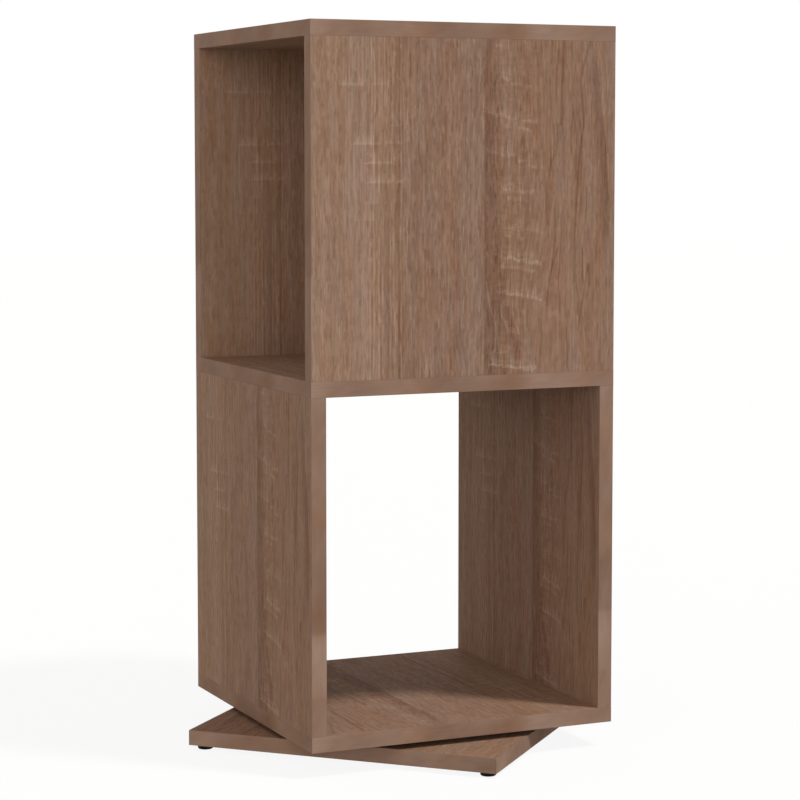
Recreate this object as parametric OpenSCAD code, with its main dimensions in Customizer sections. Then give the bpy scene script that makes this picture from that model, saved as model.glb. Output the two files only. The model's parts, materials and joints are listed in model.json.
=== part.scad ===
// Rotating storage cabinet: two open tiers of board that turn on a ball-bearing ring over a square base.
// The lower tier is open front to back, the upper tier left to right.
// Lengths are in millimetres. The front faces -Y, the cabinet turns about +Z and the floor is z = 0.

/* [Boards] */
// Thickness of every board
board_t = 16; // [14:0.5:22]
// Width of the cabinet, left to right
cabinet_w = 340; // [280:5:500]
// Depth of the cabinet, front to back
cabinet_d = 340; // [280:5:500]
// Clear height of the lower compartment
lower_h = 340; // [180:5:500]
// Clear height of the upper compartment
upper_h = 340; // [180:5:500]
// Thickness of the edge bands
band_t = 0.8; // [0.6:0.1:2]
// Easing of an edge band's outer corners
band_ease = 0.2; // [0.1:0.05:0.5]
// Seam between two edge bands that meet at a board's corner
band_seam = 0.1; // [0.05:0.05:0.3]

/* [Base] */
// Width of the base board, along its own first side
base_w = 340; // [280:5:500]
// Depth of the base board, along its own second side
base_d = 340; // [280:5:500]
// Turn of the base board under the cabinet, in degrees
base_turn = 45; // [0:5:90]
// Diameter of a foot
foot_d = 16; // [12:1:30]
// Height of a foot
foot_h = 5; // [4:0.5:20]
// Distance of a foot's centre from both edges of the base board
foot_inset = 13; // [10:0.5:40]
// Rounding of a foot's lower edge
foot_round = 1.2; // [0.4:0.1:2]
// Depth of the recess that keeps a foot screw's head off the floor
foot_recess = 1; // [0.4:0.1:1.5]
// Diameter of a foot screw
foot_screw_d = 3; // [2.5:0.5:4]
// Head diameter of a foot screw
foot_screw_head_d = 5.6; // [5:0.2:8]
// Length of a foot screw inside the base board
foot_screw_grip = 9; // [6:0.5:12]

/* [Turntable] */
// Gap between the base board and the cabinet
turntable_gap = 6; // [5.5:0.5:12]
// Running gap between each ring and the board that it turns over
ring_lift = 1; // [0.5:0.1:1.5]
// Diameter of the circle through the ball centres
ball_circle_d = 115; // [90:1:180]
// Diameter of a ball
ball_d = 3; // [2.4:0.1:3.6]
// Number of balls
ball_count = 28; // [12:1:40]
// Gap between a ball and its groove
ball_clear = 0.1; // [0.05:0.05:0.2]
// Radial width of each ring
ring_w = 12.8; // [10:0.2:20]
// Radial gap between the two rings
ring_gap = 1.4; // [1.2:0.1:1.8]
// Easing of a ring's outer corners
ring_ease = 0.4; // [0.2:0.1:0.8]
// Gap between the ball cage and each ring
cage_clear = 0.3; // [0.2:0.05:0.4]
// Height of the ball cage above and below its pockets
cage_rim = 0.8; // [0.5:0.1:0.9]
// Number of screws in each ring
ring_screws = 6; // [4:1:8]
// Distance of a ring's screws from the edge away from the balls
ring_screw_inset = 6; // [5:0.2:7]
// Diameter of the machine screws in the base board
base_screw_d = 4; // [3:0.5:5]
// Head diameter of the machine screws
base_screw_head_d = 8; // [7:0.2:9]
// Length of a machine screw inside the inner ring
base_screw_grip = 4; // [2.5:0.25:4.25]
// Diameter of the wood screws in the bottom panel
cabinet_screw_d = 3.5; // [3:0.5:4.5]
// Head diameter of the wood screws
cabinet_screw_head_d = 7; // [6:0.2:8]
// Length of a wood screw inside the bottom panel
cabinet_screw_grip = 11; // [6:0.5:12]

/* [Screw heads] */
// Length of a screw's driver cross
screw_cross_l = 3.4; // [2.6:0.1:3.6]
// Width of a screw's driver cross
screw_cross_w = 0.8; // [0.6:0.1:1]
// Depth of a screw's driver cross
screw_cross_depth = 0.9; // [0.6:0.1:1]

/* [Board fittings] */
// Diameter of a dowel
dowel_d = 8; // [6:0.5:9]
// Length of a dowel
dowel_l = 30; // [24:1:40]
// Length of a dowel inside a horizontal board
dowel_in_flat = 10; // [7:0.5:11]
// Chamfer on a dowel's ends
dowel_chamfer = 1; // [0.5:0.1:1.5]
// Distance of a dowel from the upright's side
dowel_inset = 28; // [20:1:34]
// Distance of a cam lock from the upright's side
cam_inset = 60; // [52:1:90]
// Distance of a cam lock's axis from the upright's end
cam_setback = 34; // [24:0.5:40]
// Diameter of a cam lock
cam_d = 15; // [13:0.5:18]
// Board left behind a cam lock's bore
cam_floor = 3; // [2.5:0.25:4]
// Depth of a cam lock below the board's face
cam_sink = 0.25; // [0.1:0.05:0.4]
// Turn of a cam lock between open and locked, in degrees
cam_turn = 110; // [90:5:130]
// Length of a cam lock's driver cross
cross_l = 8; // [6:0.5:9]
// Width of a cam lock's driver cross
cross_w = 1.4; // [1:0.1:2]
// Depth of a cam lock's driver cross
cross_depth = 2.4; // [1:0.1:2.8]
// Diameter of a cam bolt's thread
bolt_thread_d = 6; // [5:0.5:7]
// Length of a cam bolt's thread
bolt_thread_l = 11; // [8:0.5:11.5]
// Diameter of a cam bolt's shaft
bolt_d = 7; // [6:0.5:8]
// Diameter of a cam bolt's neck
bolt_neck_d = 4.8; // [4:0.2:5.2]
// Diameter of a cam bolt's head
bolt_head_d = 6.8; // [6:0.2:7.2]
// Length of a cam bolt's head
bolt_head_l = 3.6; // [3:0.2:4]
// Diameter of a cover cap
cap_d = 18; // [16:0.5:22]
// Thickness of a cover cap
cap_t = 0.3; // [0.2:0.1:0.6]

/* [Fits] */
// Radial gap round dowels, screws and cam locks in their bores
fit_clear = 0.05; // [0.03:0.01:0.1]
// Gap round a cam bolt's head and neck inside its cam lock
cam_clear = 0.2; // [0.1:0.05:0.3]
// Spare depth at the end of a blind bore
bore_spare = 1; // [0.5:0.1:2]
// Spare length of a cut past the face that it opens
over = 1; // [0.5:0.1:2]

/* [Hidden] */
$fn = 64;
oak = "#8b6e5b";
oak_band = "#8a6d5b";
black = "#1a1a1b";
steel = "#b9bbbd";
alloy = "#c9cbcd";
zinc = "#a3a5a6";
nylon = "#ece8dc";
beech = "#c9a678";

base_z = foot_h;
gap_z = base_z + board_t;
bottom_z = gap_z + turntable_gap;
lower_z = bottom_z + board_t;
middle_z = lower_z + lower_h;
upper_z = middle_z + board_t;
top_z = upper_z + upper_h;

front_turn = 0;
right_turn = 90;
rear_turn = 180;
left_turn = 270;

ball_r = ball_circle_d / 2;
ball_z = gap_z + turntable_gap / 2;
ring_h = turntable_gap - ring_lift;
inner_race_r = ball_r - ring_gap / 2;
inner_free_r = inner_race_r - ring_w;
outer_race_r = ball_r + ring_gap / 2;
outer_free_r = outer_race_r + ring_w;
inner_screw_r = inner_free_r + ring_screw_inset;
outer_screw_r = outer_free_r - ring_screw_inset;
outer_ring_z = bottom_z - ring_h;
cage_t = ring_gap - 2 * cage_clear;
cage_h = ball_d + 2 * ball_clear + 2 * cage_rim;
base_screw_l = board_t + base_screw_grip;
cabinet_screw_l = ring_h + cabinet_screw_grip;
foot_screw_l = foot_h - foot_recess + foot_screw_grip;

cam_bore_depth = board_t - cam_floor;
cam_h = cam_bore_depth - 2 * cam_sink;
cam_hollow_r = norm([bolt_head_d / 2, bolt_head_l / 2]) + cam_clear;
bolt_shaft_l = cam_setback - cam_d / 2 - cam_clear;

// Boards and edge bands

// Core of a horizontal board, without the bands on its four edges
module flat_core(w, d) {
    translate([-(w / 2 - band_t), -(d / 2 - band_t), 0])
        cube([w - 2 * band_t, d - 2 * band_t, board_t]);
}

// Cross-section of an edge band: its glued face on x = 0, its showing face towards -X
module band_section() {
    polygon([
        [0, 0],
        [0, board_t],
        [band_ease - band_t, board_t],
        [-band_t, board_t - band_ease],
        [-band_t, band_ease],
        [band_ease - band_t, 0]
    ]);
}

// Edge band of a horizontal board, lying along X with its showing face towards -Y
module flat_band(length) {
    translate([-length / 2, 0, 0])
        rotate([90, 0, 90])
            linear_extrude(length)
                band_section();
}

// The four bands of a horizontal board: two run the full width, two fit between them with a hairline seam
module flat_bands(w, d) {
    for (turn = [front_turn, rear_turn])
        rotate([0, 0, turn])
            translate([0, -(d / 2 - band_t), 0])
                flat_band(w);
    for (turn = [left_turn, right_turn])
        rotate([0, 0, turn])
            translate([0, -(w / 2 - band_t), 0])
                flat_band(d - 2 * band_t - 2 * band_seam);
}

// The two bands on the sides of an upright board
module upright_bands(width, height) {
    for (side = [0, 1])
        mirror([side, 0, 0])
            translate([-(width / 2 - band_t), -board_t / 2, 0])
                linear_extrude(height)
                    band_section();
}

// Places of the uprights: local y = 0 is the board's middle and +Y looks into the compartment

module lower_upright(turn) {
    rotate([0, 0, turn])
        translate([0, -(cabinet_w - board_t) / 2, lower_z])
            children();
}

module upper_upright(turn) {
    rotate([0, 0, turn])
        translate([0, -(cabinet_d - board_t) / 2, upper_z])
            children();
}

// An upright's four joints of one kind, each with +Z into the upright from its end face
module at_joints(width, height, inset) {
    for (x = [inset - width / 2, width / 2 - inset])
        translate([x, 0, 0]) {
            children();
            translate([0, 0, height])
                mirror([0, 0, 1])
                    children();
        }
}

// Blind bore along +Z from a face at z = 0, for a pin of the given diameter and length
module bore(pin_d, pin_l) {
    translate([0, 0, -over])
        cylinder(d = pin_d + 2 * fit_clear, h = pin_l + bore_spare + over);
}

// A cam lock's own frame: +Z runs into the board from the compartment's side, -Y towards the bolt
module cam_frame() {
    translate([0, board_t / 2, cam_setback])
        rotate([90, 0, 0])
            children();
}

module cam_bore() {
    cam_frame()
        translate([0, 0, -over])
            cylinder(d = cam_d, h = cam_bore_depth + over);
}

module upright_board(width, height) {
    difference() {
        translate([-(width / 2 - band_t), -board_t / 2, 0])
            cube([width - 2 * band_t, board_t, height]);
        at_joints(width, height, dowel_inset)
            bore(dowel_d, dowel_l - dowel_in_flat);
        at_joints(width, height, cam_inset) {
            bore(bolt_d, bolt_shaft_l);
            cam_bore();
        }
    }
}

// Bores for one upright's dowels and cam bolts in the boards above and below it
module bores_in_flats(width, height) {
    at_joints(width, height, dowel_inset)
        mirror([0, 0, 1])
            bore(dowel_d, dowel_in_flat);
    at_joints(width, height, cam_inset)
        mirror([0, 0, 1])
            bore(bolt_thread_d, bolt_thread_l);
}

module lower_bores() {
    for (turn = [left_turn, right_turn])
        lower_upright(turn)
            bores_in_flats(cabinet_d, lower_h);
}

module upper_bores() {
    for (turn = [front_turn, rear_turn])
        upper_upright(turn)
            bores_in_flats(cabinet_w, upper_h);
}

// Board fittings

module dowel() {
    foot_z = -dowel_in_flat;
    head_z = dowel_l - dowel_in_flat;
    rotate_extrude()
        polygon([
            [0, foot_z],
            [dowel_d / 2 - dowel_chamfer, foot_z],
            [dowel_d / 2, foot_z + dowel_chamfer],
            [dowel_d / 2, head_z - dowel_chamfer],
            [dowel_d / 2 - dowel_chamfer, head_z],
            [0, head_z]
        ]);
}

// Bolt with its thread in the horizontal board and its head on the cam lock's axis
module cam_bolt() {
    head_foot = cam_setback - bolt_head_l / 2;
    head_top = cam_setback + bolt_head_l / 2;
    rotate_extrude()
        polygon([
            [0, -bolt_thread_l],
            [bolt_thread_d / 2, -bolt_thread_l],
            [bolt_thread_d / 2, 0],
            [bolt_d / 2, 0],
            [bolt_d / 2, bolt_shaft_l],
            [bolt_neck_d / 2, bolt_shaft_l],
            [bolt_neck_d / 2, head_foot],
            [bolt_head_d / 2, head_foot],
            [bolt_head_d / 2, head_top],
            [0, head_top]
        ]);
}

// Cross-shaped cut along +Z from a face at z = 0
module driver_cross(length, width, depth) {
    for (quarter = [0, 90])
        rotate([0, 0, quarter])
            translate([-length / 2, -width / 2, -over])
                cube([length, width, depth + over]);
}

// Flat wedge between two angles that reaches at least the given radius
module sector(radius, from, to) {
    half_turn = (to - from) / 4;
    reach = radius / cos(half_turn);
    polygon([
        [0, 0],
        for (i = [0 : 2])
            reach * [cos(from + 2 * i * half_turn), sin(from + 2 * i * half_turn)]
    ]);
}

// Zinc drum with a hollow for the bolt's head, a slot for its neck, an entry and a driver cross
module cam_lock() {
    locked_at = -90;
    slot_w = bolt_neck_d + 2 * cam_clear;
    slot_from = locked_at - asin(slot_w / 2 / cam_hollow_r);
    entry_at = locked_at + cam_turn;
    entry_d = bolt_head_d + 2 * cam_clear;
    hollow_w = entry_d + 2 * cam_clear;
    cam_frame()
        difference() {
            translate([0, 0, cam_sink])
                cylinder(d = cam_d - 2 * fit_clear, h = cam_h);
            translate([0, 0, board_t / 2]) {
                cylinder(r = cam_hollow_r, h = hollow_w, center = true);
                rotate([0, 90, entry_at])
                    cylinder(d = entry_d, h = cam_d);
                translate([0, 0, -slot_w / 2])
                    linear_extrude(slot_w)
                        sector(cam_d, slot_from, entry_at);
            }
            translate([0, 0, cam_sink])
                driver_cross(cross_l, cross_w, cross_depth);
        }
}

module cam_cap() {
    cam_frame()
        translate([0, 0, -cap_t])
            cylinder(d = cap_d, h = cap_t);
}

module dowels(width, height) {
    at_joints(width, height, dowel_inset)
        dowel();
}

module cam_bolts(width, height) {
    at_joints(width, height, cam_inset)
        cam_bolt();
}

module cam_locks(width, height) {
    at_joints(width, height, cam_inset)
        cam_lock();
}

module cam_caps(width, height) {
    at_joints(width, height, cam_inset)
        cam_cap();
}

// Countersunk screw pointing along +Z, with its head's flat on z = 0 and a driver cross
module countersunk_screw(d, head_d, length, tip_l) {
    head_l = (head_d - d) / 2;
    difference() {
        rotate_extrude()
            polygon([
                [0, 0],
                [head_d / 2, 0],
                [d / 2, head_l],
                [d / 2, length - tip_l],
                [d / 2 - min(tip_l, d / 3), length],
                [0, length]
            ]);
        driver_cross(screw_cross_l, screw_cross_w, screw_cross_depth);
    }
}

// Hole for that screw, opened past its head and past its tip
module countersunk_hole(d, head_d, length) {
    head_l = (head_d - d) / 2;
    rotate_extrude()
        polygon([
            [0, -over],
            [head_d / 2 + fit_clear, -over],
            [head_d / 2 + fit_clear, 0],
            [d / 2 + fit_clear, head_l],
            [d / 2 + fit_clear, length + bore_spare],
            [0, length + bore_spare]
        ]);
}

// Base

module base_frame() {
    rotate([0, 0, base_turn])
        children();
}

// A corner of the base board, by the signs of its two sides
module at_foot(side_x, side_y) {
    base_frame()
        translate([side_x * (base_w / 2 - foot_inset), side_y * (base_d / 2 - foot_inset), 0])
            children();
}

module at_feet() {
    for (side_x = [-1, 1])
        for (side_y = [-1, 1])
            at_foot(side_x, side_y)
                children();
}

module at_ring_screws(radius, z) {
    for (i = [0 : ring_screws - 1])
        rotate([0, 0, i * 360 / ring_screws])
            translate([radius, 0, z])
                children();
}

module foot_screw_hole() {
    translate([0, 0, foot_recess])
        countersunk_hole(foot_screw_d, foot_screw_head_d, foot_screw_l);
}

module base_screw_holes() {
    base_frame()
        at_ring_screws(inner_screw_r, base_z)
            countersunk_hole(base_screw_d, base_screw_head_d, base_screw_l);
}

module cabinet_screw_holes() {
    at_ring_screws(outer_screw_r, outer_ring_z)
        countersunk_hole(cabinet_screw_d, cabinet_screw_head_d, cabinet_screw_l);
}

// Glide with a rounded lower edge and a recessed, countersunk hole
module foot() {
    difference() {
        rotate_extrude() {
            square([foot_d / 2 - foot_round, foot_h]);
            translate([0, foot_round])
                square([foot_d / 2, foot_h - foot_round]);
            translate([foot_d / 2 - foot_round, foot_round])
                intersection() {
                    circle(r = foot_round);
                    translate([0, -foot_round])
                        square(foot_round);
                }
        }
        foot_screw_hole();
        translate([0, 0, -over])
            cylinder(d = foot_screw_head_d + 2 * fit_clear, h = foot_recess + over);
    }
}

module base_plate() {
    color(oak)
        difference() {
            base_frame()
                translate([0, 0, base_z])
                    flat_core(base_w, base_d);
            base_screw_holes();
            at_feet()
                foot_screw_hole();
        }
}

module base_plate_edge_bands() {
    color(oak_band)
        base_frame()
            translate([0, 0, base_z])
                flat_bands(base_w, base_d);
}

module foot_front() {
    color(black)
        at_foot(-1, -1)
            foot();
}

module foot_right() {
    color(black)
        at_foot(1, -1)
            foot();
}

module foot_rear() {
    color(black)
        at_foot(1, 1)
            foot();
}

module foot_left() {
    color(black)
        at_foot(-1, 1)
            foot();
}

module foot_screws() {
    color(steel)
        at_feet()
            translate([0, 0, foot_recess])
                countersunk_screw(foot_screw_d, foot_screw_head_d, foot_screw_l, foot_screw_d);
}

// Turntable

// Cross-section of a ring between its plain edge and the edge that faces the balls, with the ball groove
module ring_section(free_r, race_r, z) {
    inward = sign(race_r - free_r);
    difference() {
        polygon([
            [race_r, z],
            [race_r, z + ring_h],
            [free_r + inward * ring_ease, z + ring_h],
            [free_r, z + ring_h - ring_ease],
            [free_r, z + ring_ease],
            [free_r + inward * ring_ease, z]
        ]);
        translate([ball_r, ball_z])
            circle(d = ball_d + 2 * ball_clear);
    }
}

module at_balls() {
    for (i = [0 : ball_count - 1])
        rotate([0, 0, i * 360 / ball_count])
            translate([ball_r, 0, ball_z])
                children();
}

module turntable_inner_ring() {
    color(alloy)
        difference() {
            rotate_extrude()
                ring_section(inner_free_r, inner_race_r, gap_z);
            base_frame()
                at_ring_screws(inner_screw_r, gap_z - over)
                    cylinder(d = base_screw_d + 2 * fit_clear, h = ring_h + 2 * over);
        }
}

module turntable_base_screws() {
    color(steel)
        base_frame()
            at_ring_screws(inner_screw_r, base_z)
                countersunk_screw(base_screw_d, base_screw_head_d, base_screw_l, base_screw_d / 8);
}

module bearing_balls() {
    color(steel)
        at_balls()
            sphere(d = ball_d);
}

module ball_cage() {
    color(nylon)
        difference() {
            translate([0, 0, ball_z - cage_h / 2])
                rotate_extrude()
                    translate([ball_r - cage_t / 2, 0])
                        square([cage_t, cage_h]);
            at_balls()
                rotate([0, 90, 0])
                    cylinder(d = ball_d + 2 * ball_clear, h = ring_gap, center = true);
        }
}

module turntable_outer_ring() {
    color(alloy)
        difference() {
            rotate_extrude()
                ring_section(outer_free_r, outer_race_r, outer_ring_z);
            cabinet_screw_holes();
        }
}

module turntable_cabinet_screws() {
    color(steel)
        at_ring_screws(outer_screw_r, outer_ring_z)
            countersunk_screw(cabinet_screw_d, cabinet_screw_head_d, cabinet_screw_l, cabinet_screw_d);
}

// Horizontal boards of the cabinet

module bottom_panel() {
    color(oak)
        difference() {
            translate([0, 0, bottom_z])
                flat_core(cabinet_w, cabinet_d);
            lower_bores();
            cabinet_screw_holes();
        }
}

module bottom_panel_edge_bands() {
    color(oak_band)
        translate([0, 0, bottom_z])
            flat_bands(cabinet_w, cabinet_d);
}

module middle_panel() {
    color(oak)
        difference() {
            translate([0, 0, middle_z])
                flat_core(cabinet_w, cabinet_d);
            lower_bores();
            upper_bores();
        }
}

module middle_panel_edge_bands() {
    color(oak_band)
        translate([0, 0, middle_z])
            flat_bands(cabinet_w, cabinet_d);
}

module top_panel() {
    color(oak)
        difference() {
            translate([0, 0, top_z])
                flat_core(cabinet_w, cabinet_d);
            upper_bores();
        }
}

module top_panel_edge_bands() {
    color(oak_band)
        translate([0, 0, top_z])
            flat_bands(cabinet_w, cabinet_d);
}

// Uprights of the lower tier

module lower_left_panel() {
    color(oak)
        lower_upright(left_turn)
            upright_board(cabinet_d, lower_h);
}

module lower_left_edge_bands() {
    color(oak_band)
        lower_upright(left_turn)
            upright_bands(cabinet_d, lower_h);
}

module lower_left_dowels() {
    color(beech)
        lower_upright(left_turn)
            dowels(cabinet_d, lower_h);
}

module lower_left_cam_bolts() {
    color(steel)
        lower_upright(left_turn)
            cam_bolts(cabinet_d, lower_h);
}

module lower_left_cam_locks() {
    color(zinc)
        lower_upright(left_turn)
            cam_locks(cabinet_d, lower_h);
}

module lower_left_cam_caps() {
    color(oak)
        lower_upright(left_turn)
            cam_caps(cabinet_d, lower_h);
}

module lower_right_panel() {
    color(oak)
        lower_upright(right_turn)
            upright_board(cabinet_d, lower_h);
}

module lower_right_edge_bands() {
    color(oak_band)
        lower_upright(right_turn)
            upright_bands(cabinet_d, lower_h);
}

module lower_right_dowels() {
    color(beech)
        lower_upright(right_turn)
            dowels(cabinet_d, lower_h);
}

module lower_right_cam_bolts() {
    color(steel)
        lower_upright(right_turn)
            cam_bolts(cabinet_d, lower_h);
}

module lower_right_cam_locks() {
    color(zinc)
        lower_upright(right_turn)
            cam_locks(cabinet_d, lower_h);
}

module lower_right_cam_caps() {
    color(oak)
        lower_upright(right_turn)
            cam_caps(cabinet_d, lower_h);
}

// Uprights of the upper tier

module upper_front_panel() {
    color(oak)
        upper_upright(front_turn)
            upright_board(cabinet_w, upper_h);
}

module upper_front_edge_bands() {
    color(oak_band)
        upper_upright(front_turn)
            upright_bands(cabinet_w, upper_h);
}

module upper_front_dowels() {
    color(beech)
        upper_upright(front_turn)
            dowels(cabinet_w, upper_h);
}

module upper_front_cam_bolts() {
    color(steel)
        upper_upright(front_turn)
            cam_bolts(cabinet_w, upper_h);
}

module upper_front_cam_locks() {
    color(zinc)
        upper_upright(front_turn)
            cam_locks(cabinet_w, upper_h);
}

module upper_front_cam_caps() {
    color(oak)
        upper_upright(front_turn)
            cam_caps(cabinet_w, upper_h);
}

module upper_rear_panel() {
    color(oak)
        upper_upright(rear_turn)
            upright_board(cabinet_w, upper_h);
}

module upper_rear_edge_bands() {
    color(oak_band)
        upper_upright(rear_turn)
            upright_bands(cabinet_w, upper_h);
}

module upper_rear_dowels() {
    color(beech)
        upper_upright(rear_turn)
            dowels(cabinet_w, upper_h);
}

module upper_rear_cam_bolts() {
    color(steel)
        upper_upright(rear_turn)
            cam_bolts(cabinet_w, upper_h);
}

module upper_rear_cam_locks() {
    color(zinc)
        upper_upright(rear_turn)
            cam_locks(cabinet_w, upper_h);
}

module upper_rear_cam_caps() {
    color(oak)
        upper_upright(rear_turn)
            cam_caps(cabinet_w, upper_h);
}

base_plate();
base_plate_edge_bands();
foot_front();
foot_right();
foot_rear();
foot_left();
foot_screws();
turntable_inner_ring();
turntable_base_screws();
bearing_balls();
ball_cage();
turntable_outer_ring();
turntable_cabinet_screws();
bottom_panel();
bottom_panel_edge_bands();
middle_panel();
middle_panel_edge_bands();
top_panel();
top_panel_edge_bands();
lower_left_panel();
lower_left_edge_bands();
lower_left_dowels();
lower_left_cam_bolts();
lower_left_cam_locks();
lower_left_cam_caps();
lower_right_panel();
lower_right_edge_bands();
lower_right_dowels();
lower_right_cam_bolts();
lower_right_cam_locks();
lower_right_cam_caps();
upper_front_panel();
upper_front_edge_bands();
upper_front_dowels();
upper_front_cam_bolts();
upper_front_cam_locks();
upper_front_cam_caps();
upper_rear_panel();
upper_rear_edge_bands();
upper_rear_dowels();
upper_rear_cam_bolts();
upper_rear_cam_locks();
upper_rear_cam_caps();
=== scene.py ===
"""Looks of a rotating storage cabinet: oak-decor boards that turn on a ball-bearing ring."""
import json
import math

import bmesh
import bpy
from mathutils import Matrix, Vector


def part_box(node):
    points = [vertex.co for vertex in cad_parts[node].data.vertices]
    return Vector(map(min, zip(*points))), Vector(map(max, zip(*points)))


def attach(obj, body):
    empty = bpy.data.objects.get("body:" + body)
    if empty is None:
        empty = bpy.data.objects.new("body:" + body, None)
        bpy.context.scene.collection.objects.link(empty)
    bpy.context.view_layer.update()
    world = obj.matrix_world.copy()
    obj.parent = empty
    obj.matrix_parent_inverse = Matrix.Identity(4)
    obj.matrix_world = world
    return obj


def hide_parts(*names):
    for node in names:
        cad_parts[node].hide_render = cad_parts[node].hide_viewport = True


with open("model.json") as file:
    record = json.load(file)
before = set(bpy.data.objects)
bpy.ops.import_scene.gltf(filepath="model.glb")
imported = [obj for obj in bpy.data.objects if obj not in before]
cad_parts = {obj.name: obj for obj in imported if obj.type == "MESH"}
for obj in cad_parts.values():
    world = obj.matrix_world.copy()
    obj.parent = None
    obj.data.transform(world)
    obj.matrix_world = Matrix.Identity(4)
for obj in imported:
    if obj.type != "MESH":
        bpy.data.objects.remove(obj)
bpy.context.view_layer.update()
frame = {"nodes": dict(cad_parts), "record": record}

MM = 0.001
# Sizes read from the frame, in metres
band_low, band_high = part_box("top_panel_edge_bands")
HALF_WIDTH = band_high.x
TOP_Z = band_high.z
BOARD_T = band_high.z - band_low.z
TIER_PITCH = TOP_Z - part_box("middle_panel_edge_bands")[1].z
BASE_TURN = math.radians(45)

# The photograph's camera, in metres, degrees and pixels of the square picture
PICTURE_SIDE = 800
CAMERA_PLACE = (-1.0629, -2.3683, 0.6207)
CAMERA_YAW = 24.22
CAMERA_PITCH = -4.43
FOCAL_PIXELS = 2417.2
CAMERA_SHIFT_Y = -0.07
SENSOR_WIDTH = 36.0


def srgb(red, green, blue):
    """The linear colour of three display levels from 0 to 255."""
    levels = [level / 255 for level in (red, green, blue)]
    linear = [c / 12.92 if c <= 0.04045 else ((c + 0.055) / 1.055) ** 2.4 for c in levels]
    return (*linear, 1.0)


# Noise: how much it is spread about 0, the gap between the layers that seeds pick, and the level on either
# side of 0 at which crisp noise is at its ends
NOISE_GAIN = 7.0
LAYER_GAP = 3.7
CRISP_HALF = 0.5
# Strips of noise: the gap between two strips' courses, and how uneven their widths are, over how many strips
STRIP_GAP = 3.3
UNEVEN_REACH = 0.6
UNEVEN_STRIPS = 4


class Wire:
    """A node's output, on which arithmetic adds Math nodes."""

    def __init__(self, graph, socket):
        self.graph = graph
        self.socket = socket

    def __add__(self, other):
        return self.graph.math("ADD", self, other)

    __radd__ = __add__

    def __sub__(self, other):
        return self.graph.math("SUBTRACT", self, other)

    def __rsub__(self, other):
        return self.graph.math("SUBTRACT", other, self)

    def __mul__(self, other):
        return self.graph.math("MULTIPLY", self, other)

    __rmul__ = __mul__

    def __truediv__(self, other):
        return self.graph.math("DIVIDE", self, other)

    def __abs__(self):
        return self.graph.math("ABSOLUTE", self)


class Graph:
    """A node tree that is built from expressions."""

    def __init__(self, tree):
        self.tree = tree

    def node(self, kind, inputs=None, **settings):
        node = self.tree.nodes.new(kind)
        for name, value in settings.items():
            setattr(node, name, value)
        for key, value in (inputs or {}).items():
            if isinstance(value, Wire):
                self.tree.links.new(value.socket, node.inputs[key])
            else:
                node.inputs[key].default_value = value
        return node

    def out(self, node, name=0):
        return Wire(self, node.outputs[name])

    def math(self, operation, *operands):
        return self.out(self.node("ShaderNodeMath", dict(enumerate(operands)), operation=operation))

    def smooth(self, value, low, high):
        """0 at low and 1 at high, with an S-shaped rise between them."""
        limits = {"Value": value, "From Min": low, "From Max": high}
        return self.out(self.node("ShaderNodeMapRange", limits, interpolation_type="SMOOTHSTEP"))

    def band(self, value, rise_from, rise_to, fall_from, fall_to):
        """1 between rise_to and fall_from, fading to 0 at the two outer ends."""
        return self.smooth(value, rise_from, rise_to) * self.smooth(value, fall_to, fall_from)

    def vector(self, x, y, z):
        return self.out(self.node("ShaderNodeCombineXYZ", {"X": x, "Y": y, "Z": z}))

    def noise(self, x, y, layer):
        """Noise round 0, mostly within -1 and 1; a layer is a cell's size along x and y, and a seed."""
        size_x, size_y, seed = layer
        cells = self.vector(x / size_x, y / size_y, seed * LAYER_GAP)
        texture = self.node("ShaderNodeTexNoise", {"Vector": cells, "Scale": 1.0, "Detail": 1.0})
        return (self.out(texture) - 0.5) * NOISE_GAIN

    def crisp(self, value):
        """Noise from -1 to 1 that changes sharply between its two ends."""
        return self.smooth(value, -CRISP_HALF, CRISP_HALF) * 2 - 1

    def strip_noise(self, across, down, layer):
        """Noise in straight strips of about a cell's width, each with its own course along its length."""
        width, length, seed = layer
        uneven = self.noise(across, 0.0, (UNEVEN_STRIPS * width, length, seed)) * UNEVEN_REACH
        strip = self.math("FLOOR", across / width + uneven)
        return self.noise(strip * STRIP_GAP, down, (1.0, length, seed))

    def ramp(self, value, stops):
        """A colour ramp over value; stops are (place from 0 to 1, colour)."""
        node = self.node("ShaderNodeValToRGB", {"Fac": value})
        elements = node.color_ramp.elements
        while len(elements) < len(stops):
            elements.new(1.0)
        for element, (place, colour) in zip(elements, stops):
            element.position = place
            element.color = colour
        return self.out(node)

    def curve(self, value, points):
        """A smooth curve through points of (value, result), both from 0 to 1."""
        node = self.node("ShaderNodeFloatCurve", {"Value": value})
        knots = node.mapping.curves[0].points
        while len(knots) < len(points):
            knots.new(0.5, 0.5)
        for knot, place in zip(knots, points):
            knot.location = place
        node.mapping.extend = "HORIZONTAL"
        node.mapping.update()
        return self.out(node)

    def tone_colour(self, tone):
        """The oak colour at a tone, in display levels from the middle tone."""
        stops = [(at / TONE_SPAN + 0.5, colour) for at, colour in DECOR_TONES]
        return self.ramp(tone / TONE_SPAN + 0.5, stops)


def new_material(name):
    """An empty node material, its graph and its Principled shader."""
    material = bpy.data.materials.new(name)
    material.use_nodes = True
    graph = Graph(material.node_tree)
    shader = material.node_tree.nodes["Principled BSDF"]
    return material, graph, shader


# Oak decor: a printed saw-cut oak, laid out in millimetres from the top left corner of a board's face.
# Its tone is counted in display levels above or below the middle tone.
DECOR_TONES = [
    (-45, srgb(92, 63, 48)),
    (-20, srgb(119, 90, 73)),
    (0, srgb(138, 109, 91)),
    (18, srgb(157, 129, 112)),
    (45, srgb(184, 158, 141)),
]
TONE_SPAN = 90.0
# Places on the print are curves over this span, in mm
PRINT_SPAN = 400.0

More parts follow.
